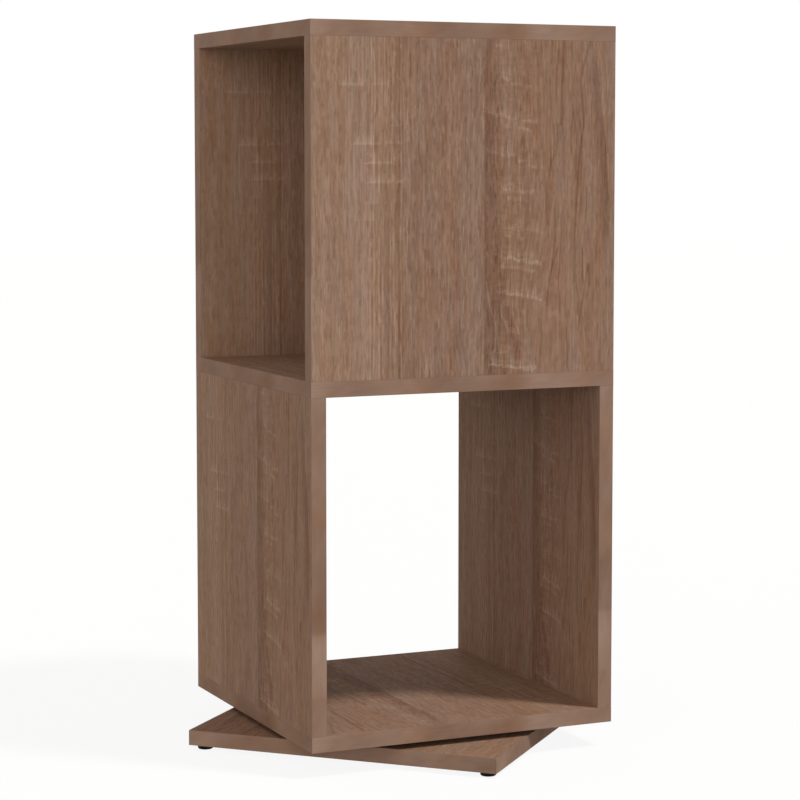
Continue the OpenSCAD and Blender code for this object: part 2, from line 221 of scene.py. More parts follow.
# Layers of noise: a cell's size along each of the two directions given, in mm, and the layer's seed
WANDER_CELLS = (55, 90, 1)
BROAD_CELLS = (8, 240, 2)
STREAK_CELLS = (5, 46, 3)
RIB_CELLS = (2.6, 400, 4)
LINE_CELLS = (1.8, 20, 5)
THREAD_CELLS = (1.1, 40, 6)
PORE_CELLS = (1.3, 16, 7)
FLECK_CELLS = (1.3, 17, 8)
SWAY_CELLS = (60, 110, 9)
SHIVER_CELLS = (16, 26, 10)
RING_CELLS = (6, 70, 11)
MARK_END_CELLS = (5, 60, 12)
MARK_WAVE_CELLS = (9, 25, 13)
BLOTCH_CELLS = (12, 3.5, 14)
WARMTH_CELLS = (9, 90, 15)
HUE_CELLS = (11, 60, 16)
BAND_SOFT_CELLS = (60, 40, 21)
BAND_CLOUD_CELLS = (24, 14, 22)
BAND_FINE_CELLS = (30, 2.2, 23)
BAND_WARMTH_CELLS = (34, 20, 24)

# Places on the print, in mm: where a feature starts and where it is full, and for a band also where it
# starts to fade and where it ends
BEND_DOWN = (170, 300)
BEND_ACROSS = (204, 236, 250, 280)
KNOT_DOWN = (215, 262)
PALE_SIDE = (104, 70)
STRIPE_EDGE = (188.0, 191.5)
STRIPE_FULL = 197
STRIPE_END = 212
STRIPE_DOWN = (-90, 110)
WEDGE_EDGE_TOP = 316
WEDGE_LEAN_DOWN = (0, 190)
WEDGE_DOWN = (10, 60, 200, 245)
FLAT_SAWN = (244, 264)
FLAT_SAWN_PALE = (248, 262)
FLAT_SAWN_END = (328, 312)
RIBBED = (50, 62, 98, 112)
FINE_GRAIN = (60, 110)
MARK_COLUMN = (192, 206, 238, 254)
HUE_SIDE = (130, 90)

# Sizes on the print, in mm: how far the grain is moved aside, and how wide features are
WANDER_REACH = 0.6
BEND_REACH = 12
KNOT_WIDENING = 26
WEDGE_LEAN = 17
WEDGE_FADE = 15
WEDGE_FULL = 4
WEDGE_RIM = 1.2
SWAY_REACH = 3.0
SHIVER_REACH = 0.6
RING_GAP = 6.5
MARK_END_REACH = 3.5
MARK_WAVE_REACH = 0.8
GREY_FADE = 6

# What each feature adds to the tone
MEAN_TONE = -3.2
# The pale tone also sets how much lighter the faces where the print shows less are painted: painted light
PALE_AND_PAINTED_LIGHT_TONE = 9.0
FLAT_SAWN_TONE = 2.0
STRIPE_TONE = -16.0
WEDGE_TONE = -15.0
BROAD_TONE = 1.6
STREAK_TONE = 0.8
RIB_TONE = 1.8
RIBBED_TONE = 4.0
LINE_TONE = 5.0
THREAD_TONE = 2.8
PORE_TONE = -10.0
FLECK_TONE = 6.0
RING_TONE = -16.0
LEVEL_MARK_TONE = 13.0
SLANT_MARK_TONE = 10.5
BLOTCH_TONE = 4.0

# Levels of noise between which pores, flecks, growth rings and blotches come out
PORE_RISE = (0.5, 0.9)
FLECK_RISE = (0.5, 1.0)
RING_RISE = (0.34, 0.46)
RING_BREAK_RISE = (-0.2, 0.4)
BLOTCH_RISE = (-0.6, 0.8)

# Shares: of the wander and sway that stripe and lines follow, of the fine grain on the left, of its loss
# on flat-sawn wood, and of a saw mark that is whole or follows the lines, the threads or the blotches
STRIPE_WANDER = 0.4
LINE_WANDER = 0.5
LINE_SWAY = 0.15
LEFT_FINE = 0.8
FLAT_SAWN_LOSS = 0.25
MARK_WHOLE = 0.65
MARK_BY_LINES = 0.2
MARK_BY_THREADS = 0.15
MARK_BY_BLOTCHES = 0.4
LEVEL_MARK_WHOLE = 0.4

# Saturation is more where the print is softer, which is painted warm shade on sides, inside and on level
# boards, and less in greyer bands and saw marks. A hue of SAME_HUE leaves the colour's own.
SAME_HUE = 0.5
PAINTED_SHADE_WARMTH = 0.2
GREY_LOSS = 0.08
WARMTH_SPREAD = 0.045
LINE_WARMTH = 0.01
MARK_LOSS = 0.004
LEFT_HUE = 0.003
HUE_SPREAD = 0.002
MARK_HUE = 0.0003

# Surface: roughness, and height in shares of the bump's depth
BOARD_GLOSS = 0.03
BOARD_ROUGHNESS = 0.62
THREAD_ROUGHNESS = -0.03
PORE_ROUGHNESS = 0.1
THREAD_HEIGHT = 0.5
LINE_HEIGHT = 0.4
BOARD_BUMP = 0.25
BUMP_DEPTH = 0.05 * MM

# How strongly the print shows on level boards, how much softer it is at the sides and inside, and how far a
# face has to look sideways for that. Where the print shows less, the face is also painted lighter and
# warmer:
# painted light and painted warm shade.
LEVEL_INK_AND_PAINTED_LIGHT = 0.8
SIDE_SOFTNESS_AND_PAINTED_LIGHT = 0.14
INNER_SOFTNESS_AND_PAINTED_LIGHT = 0.22
SIDEWAYS_RISE = (0.8, 1.0)

# Saw marks: how far down at the left end, from and to across, and how strong
LEVEL_MARKS = [
    (63, 29, 61, 0.9), (62, 68, 84, 0.6), (103, 47, 55, 0.6), (103, 88, 97, 0.6), (121, 46, 77, 1.0),
    (120, 81, 102, 0.9), (140, 63, 88, 1.1), (159, 60, 87, 1.0), (159, 93, 102, 1.0), (179, 59, 74, 0.6),
    (196, 45, 66, 0.4), (216, 94, 103, 0.5), (236, 57, 66, 0.4), (297, 72, 78, 0.7),
]
SLANT_MARKS = [
    (22, 201, 219, 0.7), (54, 206, 219, 1.1), (60, 219, 249, 0.5), (89, 190, 251, 1.0),
    (102, 213, 238, 0.8), (128, 190, 222, 1.1), (137, 228, 238, 1.3), (142, 238, 258, 0.6),
    (165, 206, 245, 1.0), (176, 217, 232, 0.8), (203, 205, 232, 1.2), (208, 238, 255, 1.0),
    (213, 210, 230, 1.0), (234, 204, 230, 1.2), (239, 226, 255, 1.2), (245, 212, 246, 0.9),
    (270, 204, 255, 1.3), (331, 200, 218, 0.9), (344, 197, 246, 1.5),
]
MARK_SLOPE = 0.18
LEVEL_THICKNESS = 1.5
SLANT_THICKNESS = 1.9
# A mark's brightness from above it to below it: a soft skirt, then the line; and in thicknesses of the line,
# how far that reaches in all and above the mark's place
MARK_PROFILE = [(0.0, 0.0), (0.35, 0.4), (0.6, 0.6), (0.68, 1.0), (0.78, 1.0), (0.9, 0.0), (1.0, 0.0)]
MARK_REACH = 9.0
MARK_ABOVE = 6.5
# Drawn grain lines: half width, tone, and the places (down, across) that the line passes
GRAIN_LINES = [
    (1.3, -15, [(10, 312), (30, 306), (52, 300), (76, 301), (100, 303), (118, 300), (264, 293)]),
    (1.3, -15, [(10, 280), (56, 278), (102, 277)]),
    (0.9, -8, [(12, 290), (38, 290)]),
    (1.0, -13, [(88, 291), (112, 288), (132, 289)]),
    (1.3, -11, [(100, 274), (126, 272), (148, 264), (204, 262)]),
    (0.9, -8, [(178, 290), (230, 290)]),
    (1.1, -15, [(244, 310), (265, 306), (282, 303), (314, 297)]),
    (1.1, -13, [(226, 275), (250, 267), (287, 262)]),
    (0.9, 16, [(260, 192), (285, 196), (305, 202), (322, 202)]),
    (0.8, 14, [(280, 212), (292, 209), (302, 213), (313, 218)]),
    (0.8, 15, [(279, 221), (297, 224), (316, 230)]),
    (2.4, -13, [(286, 215), (296, 218), (308, 221)]),
    (3.0, -13, [(314, 222), (326, 226), (342, 228)]),
    (0.8, 8, [(14, 318), (46, 324), (92, 326)]),
    (0.7, 6, [(118, 315), (190, 315)]),
    (0.7, -10, [(94, 13), (140, 15)]),
    (0.7, -7, [(30, 31), (142, 31)]),
    (0.9, -8, [(18, 120), (70, 121)]),
    (1.0, -9, [(0, 95), (180, 95), (400, 96)]),
    (1.2, -6, [(0, 75), (400, 76)]),
    (1.3, -5, [(0, 85), (400, 84)]),
    (1.2, -5, [(0, 58), (400, 59)]),
    (5.0, 4, [(0, 66), (400, 67)]),
]
# A grain line's soft edge, in half widths: where it starts and where the line is full
LINE_FADE = 1.6
LINE_FULL = 0.4
# Greyer bands along the grain: from and to across, and how grey
GREY_BANDS = [(-10, 6, 0.5), (42, 66, 0.6), (102, 140, 0.6), (162, 189, 1.1), (332, 350, 1.0)]

# Soft patches along an edge band: how far along, and tone
LEVEL_PATCHES = [
    (12, 11), (48, 2), (115, 0), (150, -8), (170, -2), (225, -2), (245, 5), (295, 5), (315, 0),
]
UPRIGHT_PATCHES = [
    (20, 5), (75, 2), (110, -3), (160, -3), (190, -8), (232, -7), (242, 9), (285, 9), (302, -2),
]
# An edge band's tones, the slant of its clouds, and its saturation and roughness. Bands that face sideways
# are painted darker and warmer, with weaker patches: painted shade.
BAND_TONE = -3.6
BAND_SIDE_PAINTED_SHADE_TONE = -4.2
BAND_SIDE_LOSS = 0.35
BAND_SOFT_TONE = 1.5
BAND_CLOUD_TONE = 3.0
BAND_FINE_TONE = 1.2
BAND_CLOUD_SLANT = 0.8
BAND_WARMTH = 0.92
BAND_SIDE_PAINTED_SHADE_WARMTH = 0.05
BAND_WARMTH_SPREAD = 0.05
BAND_ROUGHNESS = 0.6
BAND_FINE_ROUGHNESS = 0.03


def saw_marks(g, across, ragged, down, marks, thickness, slope):
    """Pale lines across the grain, each with a soft skirt above it and ragged ends."""
    reach = MARK_REACH * thickness
    above = MARK_ABOVE * thickness
    slant = down - across * slope
    total = 0.0
    for place, left, right, strength in marks:
        depth = g.math("MULTIPLY_ADD", slant, 1 / reach, (above + left * slope - place) / reach)
        extent = g.math("COMPARE", ragged, (left + right) / 2, (right - left) / 2)
        total = g.math("MULTIPLY_ADD", g.curve(depth, MARK_PROFILE) * extent, strength, total)
    return total


def grain_lines(g, across, down, lines):
    """Single lines along the grain, each on its own curve."""
    place = across / PRINT_SPAN
    depth = down / PRINT_SPAN
    total = 0.0
    for half_width, tone, path in lines:
        points = [(at_down / PRINT_SPAN, at_across / PRINT_SPAN) for at_down, at_across in path]
        distance = abs(place - g.curve(depth, points))
        share = half_width / PRINT_SPAN
        line = g.smooth(distance, LINE_FADE * share, LINE_FULL * share)
        first = path[0][0]
        last = path[-1][0]
        extent = g.math("COMPARE", down, (first + last) / 2, (last - first) / 2)
        total = g.math("MULTIPLY_ADD", line * extent, tone, total)
    return total


def build_decor():
    """The node group that turns a place on a face, in millimetres, into colour, height and roughness.

    Ink is how strongly the print shows, 1 on the boards' fronts. Where it is less, the print is evened out
    and the face is painted lighter and more saturated: painted light and painted warm shade.
    """
    tree = bpy.data.node_groups.new("oak_decor", "ShaderNodeTree")
    for name in ("Across", "Down", "Ink And Painted Light"):
        tree.interface.new_socket(name, in_out="INPUT", socket_type="NodeSocketFloat")
    tree.interface.new_socket("Color", in_out="OUTPUT", socket_type="NodeSocketColor")
    for name in ("Height", "Roughness"):
        tree.interface.new_socket(name, in_out="OUTPUT", socket_type="NodeSocketFloat")
    g = Graph(tree)
    source = g.node("NodeGroupInput")
    across = g.out(source, "Across")
    down = g.out(source, "Down")
    ink_and_painted_light = g.out(source, "Ink And Painted Light")

    # The grain wanders a little, and bends left above the knot
    wander = g.noise(across, down, WANDER_CELLS) * WANDER_REACH
    bend = g.smooth(down, *BEND_DOWN) * g.band(across, *BEND_ACROSS)
    bent = across + wander + bend * BEND_REACH

    # Broad tones from left to right: a paler side, a dark stripe with a sharp edge, a dark wedge. Where the
    # print shows less, the paler side fades and the whole face is painted lighter instead: painted light.
    pale_and_painted_light = g.smooth(bent, *PALE_SIDE) * ink_and_painted_light * ink_and_painted_light * ink_and_painted_light + 1.0 - ink_and_painted_light
    knot = g.smooth(down, *KNOT_DOWN)
    stripe_end = g.smooth(bent, STRIPE_END + knot * KNOT_WIDENING, STRIPE_FULL)
    stripe = g.smooth(across + wander * STRIPE_WANDER, *STRIPE_EDGE) * stripe_end
    wedge_edge = WEDGE_EDGE_TOP + WEDGE_LEAN * g.smooth(down, *WEDGE_LEAN_DOWN)
    wedge_rim = g.smooth(bent, wedge_edge + WEDGE_RIM, wedge_edge)
    wedge = g.smooth(bent, wedge_edge - WEDGE_FADE, wedge_edge - WEDGE_FULL) * wedge_rim
    tone = MEAN_TONE + PALE_AND_PAINTED_LIGHT_TONE * pale_and_painted_light + FLAT_SAWN_TONE * g.smooth(bent, *FLAT_SAWN_PALE)
    tone = tone + STRIPE_TONE * stripe * g.smooth(down, *STRIPE_DOWN)
    tone = tone + WEDGE_TONE * wedge * g.band(down, *WEDGE_DOWN)

    # Streaks, lines, threads and pores along the grain
    flat_sawn = g.smooth(bent, *FLAT_SAWN)
    fine = LEFT_FINE + (1.0 - LEFT_FINE) * g.smooth(bent, *FINE_GRAIN)
    fine = fine * (1.0 - FLAT_SAWN_LOSS * flat_sawn) * ink_and_painted_light
    ribbed = g.band(bent, *RIBBED)
    broad = g.noise(bent, down, BROAD_CELLS)
    streaks = g.noise(bent, down, STREAK_CELLS)
    ribs = g.crisp(g.noise(bent, down, RIB_CELLS))
    lines = g.crisp(g.strip_noise(bent, down, LINE_CELLS))
    threads = g.crisp(g.strip_noise(bent, down, THREAD_CELLS))
    pores = g.smooth(g.strip_noise(bent, down, PORE_CELLS), *PORE_RISE)
    flecks = g.smooth(g.strip_noise(bent, down, FLECK_CELLS), *FLECK_RISE)
    ribs = ribs * (RIB_TONE + ribbed * RIBBED_TONE) * ink_and_painted_light
    grain = lines * LINE_TONE + threads * THREAD_TONE + pores * PORE_TONE + flecks * FLECK_TONE
    tone = tone + broad * BROAD_TONE + streaks * STREAK_TONE + ribs + grain * fine

    # Flat-sawn growth lines near the right edge
    shiver = g.noise(bent, down, SHIVER_CELLS) * SHIVER_REACH
    sway = g.noise(bent, down, SWAY_CELLS) * SWAY_REACH + shiver
    rings = abs(g.math("FRACT", (bent + sway) / RING_GAP) - 0.5)
    unbroken = g.smooth(g.noise(bent, down, RING_CELLS), *RING_BREAK_RISE)
    growth = g.smooth(rings, *RING_RISE) * unbroken
    tone = tone + RING_TONE * growth * flat_sawn * g.smooth(bent, *FLAT_SAWN_END)
    tone = tone + grain_lines(g, across + wander * LINE_WANDER + sway * LINE_SWAY, down, GRAIN_LINES)

    # Saw marks, broken up along and across the grain
    ragged = across + g.noise(down, across, MARK_END_CELLS) * MARK_END_REACH
    waved = down + g.noise(across, down, MARK_WAVE_CELLS) * MARK_WAVE_REACH
    breaks = MARK_WHOLE + MARK_BY_LINES * lines + MARK_BY_THREADS * threads
    blotches = g.smooth(g.noise(across, waved, BLOTCH_CELLS), *BLOTCH_RISE)
    level = saw_marks(g, across, ragged, down, LEVEL_MARKS, LEVEL_THICKNESS, 0.0)
    level = level * (LEVEL_MARK_WHOLE + (1.0 - LEVEL_MARK_WHOLE) * breaks)
    slanted = saw_marks(g, across, ragged, waved, SLANT_MARKS, SLANT_THICKNESS, MARK_SLOPE)
    slanted = slanted * (breaks + MARK_BY_BLOTCHES * blotches)
    sawn = (level * LEVEL_MARK_TONE + slanted * SLANT_MARK_TONE) * ink_and_painted_light
    tone = tone + sawn + g.band(ragged, *MARK_COLUMN) * (blotches - 0.5) * BLOTCH_TONE

    # Colour: greyer bands, a little drift in saturation and hue, and more saturation where the print shows
    # less:
    # painted warm shade
    grey = 0.0
    for left, right, strength in GREY_BANDS:
        rise = g.smooth(across, left - GREY_FADE, left + GREY_FADE)
        fall = g.smooth(across, right + GREY_FADE, right - GREY_FADE)
        grey = rise * fall * strength + grey
    warmth = 1.0 + PAINTED_SHADE_WARMTH * (1.0 - ink_and_painted_light) - GREY_LOSS * grey * ink_and_painted_light * ink_and_painted_light
    warmth = warmth + LINE_WARMTH * lines - MARK_LOSS * sawn
    warmth = warmth + WARMTH_SPREAD * g.noise(bent, down, WARMTH_CELLS)
    hue = SAME_HUE + LEFT_HUE * g.smooth(across, *HUE_SIDE) + MARK_HUE * sawn
    hue = hue + HUE_SPREAD * g.noise(bent, down, HUE_CELLS)
    look = {"Color": g.tone_colour(tone), "Hue": hue, "Saturation": warmth}
    tinted = g.node("ShaderNodeHueSaturation", look)
    height = threads * THREAD_HEIGHT + lines * LINE_HEIGHT - pores
    roughness = BOARD_ROUGHNESS + threads * THREAD_ROUGHNESS + pores * PORE_ROUGHNESS
    sink = g.node("NodeGroupOutput")
    tree.links.new(tinted.outputs["Color"], sink.inputs["Color"])
    tree.links.new(height.socket, sink.inputs["Height"])
    tree.links.new(roughness.socket, sink.inputs["Roughness"])
    return tree


def face_tangent(g):
    """On a vertical face: the place left to right and the drop from its tier's top in mm, and two shares.

    The shares say how far the face looks to the left or right, and whether it looks in towards the axis.
    """
    coordinates = g.node("ShaderNodeTexCoord")
    place = g.node("ShaderNodeSeparateXYZ", {"Vector": g.out(coordinates, "Object")})
    normal = g.node("ShaderNodeSeparateXYZ", {"Vector": g.out(coordinates, "Normal")})
    along = g.out(place, "Y") * g.out(normal, "X") - g.out(place, "X") * g.out(normal, "Y")
    outward = g.out(place, "X") * g.out(normal, "X") + g.out(place, "Y") * g.out(normal, "Y")
    drop = g.math("WRAP", TOP_Z - g.out(place, "Z"), TIER_PITCH, 0.0)
    sideways = g.smooth(abs(g.out(normal, "X")), *SIDEWAYS_RISE)
    inward = g.math("LESS_THAN", outward, 0.0)
    return (along + HALF_WIDTH) / MM, drop / MM, sideways, inward


def finish_board(g, shader, decor, across, down, ink_and_painted_light):
    """Feeds the decor at a place in millimetres into a board's shader."""
    group = g.node("ShaderNodeGroup", node_tree=decor)
    g.tree.links.new(across.socket, group.inputs["Across"])
    g.tree.links.new(down.socket, group.inputs["Down"])
    g.tree.links.new(ink_and_painted_light.socket, group.inputs["Ink And Painted Light"])
    relief = {"Height": g.out(group, "Height"), "Strength": BOARD_BUMP, "Distance": BUMP_DEPTH}
    bump = g.node("ShaderNodeBump", relief)
    g.tree.links.new(group.outputs["Color"], shader.inputs["Base Color"])
    g.tree.links.new(group.outputs["Roughness"], shader.inputs["Roughness"])
    g.tree.links.new(bump.outputs["Normal"], shader.inputs["Normal"])
    shader.inputs["Specular IOR Level"].default_value = BOARD_GLOSS


def upright_board(decor):
    """Upright boards: grain runs down, and each tier starts the print again.

    The print is softer inside and at the sides, and there the face is painted lighter and warmer: painted
    light and painted warm shade.
    """
    material, g, shader = new_material("oak_upright")
    along, drop, sideways, inward = face_tangent(g)
    # Sides and insides get less print, and with it painted light and painted warm shade
    softness_and_painted_light = g.math("MAXIMUM", SIDE_SOFTNESS_AND_PAINTED_LIGHT * sideways, INNER_SOFTNESS_AND_PAINTED_LIGHT * inward)
    finish_board(g, shader, decor, along, drop, 1.0 - softness_and_painted_light)
    return material


def level_board(name, decor, turn):
    """Level boards: grain runs front to back, in the board's own frame, which is turned about Z."""
    material, g, shader = new_material(name)
    coordinates = g.node("ShaderNodeTexCoord")
    place = g.node("ShaderNodeSeparateXYZ", {"Vector": g.out(coordinates, "Object")})
    normal = g.node("ShaderNodeSeparateXYZ", {"Vector": g.out(coordinates, "Normal")})
    x = g.out(place, "X")
    y = g.out(place, "Y")
    facing_up = g.out(normal, "Z")
    own_x = x * math.cos(turn) - y * math.sin(turn)
    own_y = x * math.sin(turn) + y * math.cos(turn)
    across = HALF_WIDTH - own_x * facing_up
    # Level faces get less print than fronts, and with it painted light and painted warm shade
    finish_board(g, shader, decor, across / MM, (own_y + HALF_WIDTH) / MM, abs(facing_up) * LEVEL_INK_AND_PAINTED_LIGHT)
    return material


def edge_band(name, upright):
    """Edge bands: soft patches along the band, without the boards' fine grain."""
    material, g, shader = new_material(name)
    along, drop, sideways, _ = face_tangent(g)
    if upright:
        length, width, patches = drop - BOARD_T / MM, along, UPRIGHT_PATCHES
    else:
        length, width, patches = along, drop, LEVEL_PATCHES
    points = [(place / PRINT_SPAN, tone / TONE_SPAN + 0.5) for place, tone in patches]
    patch = (g.curve(length / PRINT_SPAN, points) - 0.5) * TONE_SPAN
    soft = g.noise(length, width, BAND_SOFT_CELLS)
    cloud = g.noise(length + width * BAND_CLOUD_SLANT, width, BAND_CLOUD_CELLS)
    fine = g.noise(length, width, BAND_FINE_CELLS)
    # Bands that face sideways are painted darker and warmer: painted shade
    tone = patch * (1.0 - BAND_SIDE_LOSS * sideways) + BAND_TONE + BAND_SIDE_PAINTED_SHADE_TONE * sideways
    tone = tone + soft * BAND_SOFT_TONE + cloud * BAND_CLOUD_TONE + fine * BAND_FINE_TONE
    warmth = BAND_WARMTH + BAND_SIDE_PAINTED_SHADE_WARMTH * sideways
    warmth = warmth + BAND_WARMTH_SPREAD * g.noise(length, width, BAND_WARMTH_CELLS)
    tinted = g.node("ShaderNodeHueSaturation", {"Color": g.tone_colour(tone), "Saturation": warmth})
    roughness = BAND_ROUGHNESS + fine * BAND_FINE_ROUGHNESS
    g.tree.links.new(tinted.outputs["Color"], shader.inputs["Base Color"])
    g.tree.links.new(roughness.socket, shader.inputs["Roughness"])
    shader.inputs["Specular IOR Level"].default_value = BOARD_GLOSS
    return material


# The fittings' speckle: the detail of its noise, the levels at which it is dark and light, how dark that is,
# how far its roughness spreads, and the strength of its bump
SPECKLE_DETAIL = 3.0
SPECKLE_DARK_AT = 0.3
SPECKLE_LIGHT_AT = 0.7
SPECKLE_DARKNESS = 0.85
SPECKLE_ROUGHNESS = 0.12
SPECKLE_BUMP = 0.2


def fitting(name, colour, roughness, metallic=0.0, gloss=0.5, grain=(0.5, 0.5), turned=False):
    """A material for the fittings, with fine grain of a width and a height in mm.

    The grain runs round the axis if the fitting is turned.
    """
    material, g, shader = new_material(name)
    coordinates = g.node("ShaderNodeTexCoord")
    place = g.node("ShaderNodeSeparateXYZ", {"Vector": g.out(coordinates, "Object")})
    x = g.out(place, "X")
    y = g.out(place, "Y")
    z = g.out(place, "Z")
    width, height = (size * MM for size in grain)
    if turned:
        cells = g.vector(g.math("SQRT", x * x + y * y) / width, 0.0, z / height)
    else:
        cells = g.vector(x / width, y / width, z / height)
    texture = {"Vector": cells, "Scale": 1.0, "Detail": SPECKLE_DETAIL}
    speckle = g.out(g.node("ShaderNodeTexNoise", texture))
    red, green, blue = (part * SPECKLE_DARKNESS for part in colour[:3])
    shade = g.ramp(speckle, [(SPECKLE_DARK_AT, (red, green, blue, 1.0)), (SPECKLE_LIGHT_AT, colour)])
    spread = (speckle - 0.5) * SPECKLE_ROUGHNESS + roughness
    bump = g.node("ShaderNodeBump", {"Height": speckle, "Strength": SPECKLE_BUMP, "Distance": BUMP_DEPTH})
    g.tree.links.new(shade.socket, shader.inputs["Base Color"])
    g.tree.links.new(spread.socket, shader.inputs["Roughness"])
    g.tree.links.new(bump.outputs["Normal"], shader.inputs["Normal"])
    shader.inputs["Metallic"].default_value = metallic
    shader.inputs["Specular IOR Level"].default_value = gloss
    return material


def dress(materials):
    """Gives every CAD node the material of the first ending in materials that its name has."""
    for name, obj in frame["nodes"].items():
        ending = next(ending for ending in materials if name.endswith(ending))
        obj.data.materials.clear()
        obj.data.materials.append(materials[ending])


# Turned fittings, in mm. Their places, lengths and largest radii come from the frame's solids.
DOWEL_CHAMFER = 1.0
DOWEL_FLUTES = 18
FLUTE_SHAPE = (0.0, 0.15, 0.3, 0.15)
BOLT_THREAD_L = 11.0
BOLT_THREAD_R = 3.0
BOLT_THREAD_CHAMFER = 0.8
BOLT_SHAFT_L = 26.3
BOLT_NECK_R = 2.4
BOLT_HEAD_R = 3.4
BOLT_HEAD_L = 3.6
BOLT_PITCH = 2.0
BOLT_GROOVE = 0.8
# A screw's driver cross: half its length, half its width, and its depth
CROSS_REACH = 1.7
CROSS_HALF_W = 0.4
CROSS_DEPTH = 0.9
# Screws by node: shank radius, tip length, thread pitch and depth of its groove
SCREWS = {
    "foot_screws": (1.5, 3.0, 1.2, 0.4),
    "turntable_base_screws": (2.0, 0.5, 0.7, 0.4),
    "turntable_cabinet_screws": (1.75, 3.5, 1.5, 0.5),
}
# The share of a shank's radius that is left at the end of a long screw tip
TIP_BLUNT = 1 / 3
# A thread's corners round the axis and along one turn, and the shares of a turn that half its ridge and one
# flank take
THREAD_SIDES = 20
THREAD_STEPS = 6
RIDGE_HALF = 0.12
RIDGE_FLANK = 0.2
# Edges of the turned pieces that are sharper than this, in degrees, aren't smoothed
SHARP_ANGLE = 35


def solids(node):
    """A CAD node's separate solids, each as centre in plan, lowest and highest point and radius, in mm."""
    bm = bmesh.new()
    bm.from_mesh(frame["nodes"][node].data)
    bmesh.ops.remove_doubles(bm, verts=bm.verts, dist=MM * MM)
    seen = set()
    found = []
    for seed in bm.verts:
        if seed in seen:
            continue
        seen.add(seed)
        corners = [seed]
        for corner in corners:
            near = [edge.other_vert(corner) for edge in corner.link_edges]
            fresh = [vert for vert in near if vert not in seen]
            seen.update(fresh)
            corners.extend(fresh)
        places = [corner.co / MM for corner in corners]
        left, front, low = (min(place[axis] for place in places) for axis in range(3))
        right, rear, high = (max(place[axis] for place in places) for axis in range(3))
        radius = max(right - left, rear - front) / 2
        found.append(((left + right) / 2, (front + rear) / 2, low, high, radius))
    bm.free()
    return found


def turn(bm, foot, up, rings):
    """Adds a solid turned about Z, up or down from its foot, and gives back its first loop, left open.

    Rings are (height, radii round the axis).
    """
    loops = []
    for height, radii in rings:
        loop = []
        for step, radius in enumerate(radii):
            angle = up * 2 * math.pi * step / len(radii)
            place = Vector((radius * math.cos(angle), radius * math.sin(angle), up * height))
            loop.append(bm.verts.new((foot + place) * MM))
        loops.append(loop)
    for low, high in zip(loops, loops[1:]):
        for side in range(len(low)):
            after = (side + 1) % len(low)
            bm.faces.new((low[side], low[after], high[after], high[side]))
    bm.faces.new(loops[-1])
    return loops[0]


def plain_ring(height, radius):
    """A round ring at a height."""
    return (height, [radius] * THREAD_SIDES)


def thread(start, end, crest, pitch, groove):
    """Rings of a thread; crest gives its outer radius at a height, and its groove runs out at both ends."""
    rings = []
    count = round((end - start) / pitch * THREAD_STEPS)
    for step in range(count + 1):
        height = start + (end - start) * step / count
        depth = groove * min(1.0, (height - start) / pitch, (end - height) / pitch)
        radii = []
        for side in range(THREAD_SIDES):
            turns = (height / pitch - side / THREAD_SIDES) % 1.0
            off_ridge = min(max((abs(turns - 0.5) - RIDGE_HALF) / RIDGE_FLANK, 0.0), 1.0)
            radii.append(crest(height) - depth * off_ridge)
        rings.append((height, radii))
    return rings


def add_dowel(bm, _, solid):
    """A dowel with straight flutes and chamfered ends."""
    x, y, low, high, radius = solid
    length = high - low
    fluted = [radius - depth for depth in FLUTE_SHAPE] * DOWEL_FLUTES
    narrowed = [corner - DOWEL_CHAMFER for corner in fluted]
    rings = [(0.0, narrowed), (DOWEL_CHAMFER, fluted), (length - DOWEL_CHAMFER, fluted), (length, narrowed)]
    bm.faces.new(turn(bm, Vector((x, y, low)), 1, rings))


def add_cam_bolt(bm, node, solid):
    """A bolt with a coarse thread, a shaft, a neck and a head.

    Its thread points away from the upright's middle.
    """
    x, y, low, high, shaft_r = solid
    middle = sum(corner.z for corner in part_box(node)) / 2 / MM
    up = 1 if low < middle else -1
    foot = Vector((x, y, low if up == 1 else high))
    length = high - low
    shaft_top = BOLT_THREAD_L + BOLT_SHAFT_L
    head_foot = length - BOLT_HEAD_L

    def crest(height):
        return BOLT_THREAD_R - max(BOLT_THREAD_CHAMFER - height, 0.0)

    outline = [
        (BOLT_THREAD_L, shaft_r), (shaft_top, shaft_r),
        (shaft_top, BOLT_NECK_R), (head_foot, BOLT_NECK_R),
        (head_foot, BOLT_HEAD_R), (length, BOLT_HEAD_R),
    ]
    rings = thread(0.0, BOLT_THREAD_L, crest, BOLT_PITCH, BOLT_GROOVE)
    rings += [plain_ring(*corner) for corner in outline]
    bm.faces.new(turn(bm, foot, up, rings))


def add_screw(bm, node, solid):
    """A countersunk screw that points up, with a thread and a driver cross."""
    x, y, low, high, head_r = solid
    shank_r, tip_l, pitch, groove = SCREWS[node]
    length = high - low
    taper = min(tip_l, shank_r * (1 - TIP_BLUNT)) / tip_l

    def crest(height):
        return shank_r - taper * max(height - length + tip_l, 0.0)

    rings = [plain_ring(0.0, head_r)]
    rings += thread(head_r - shank_r, length, crest, pitch, groove)
    foot = Vector((x, y, low))
    rim = turn(bm, foot, 1, rings)
    cut_cross(bm, foot, rim)


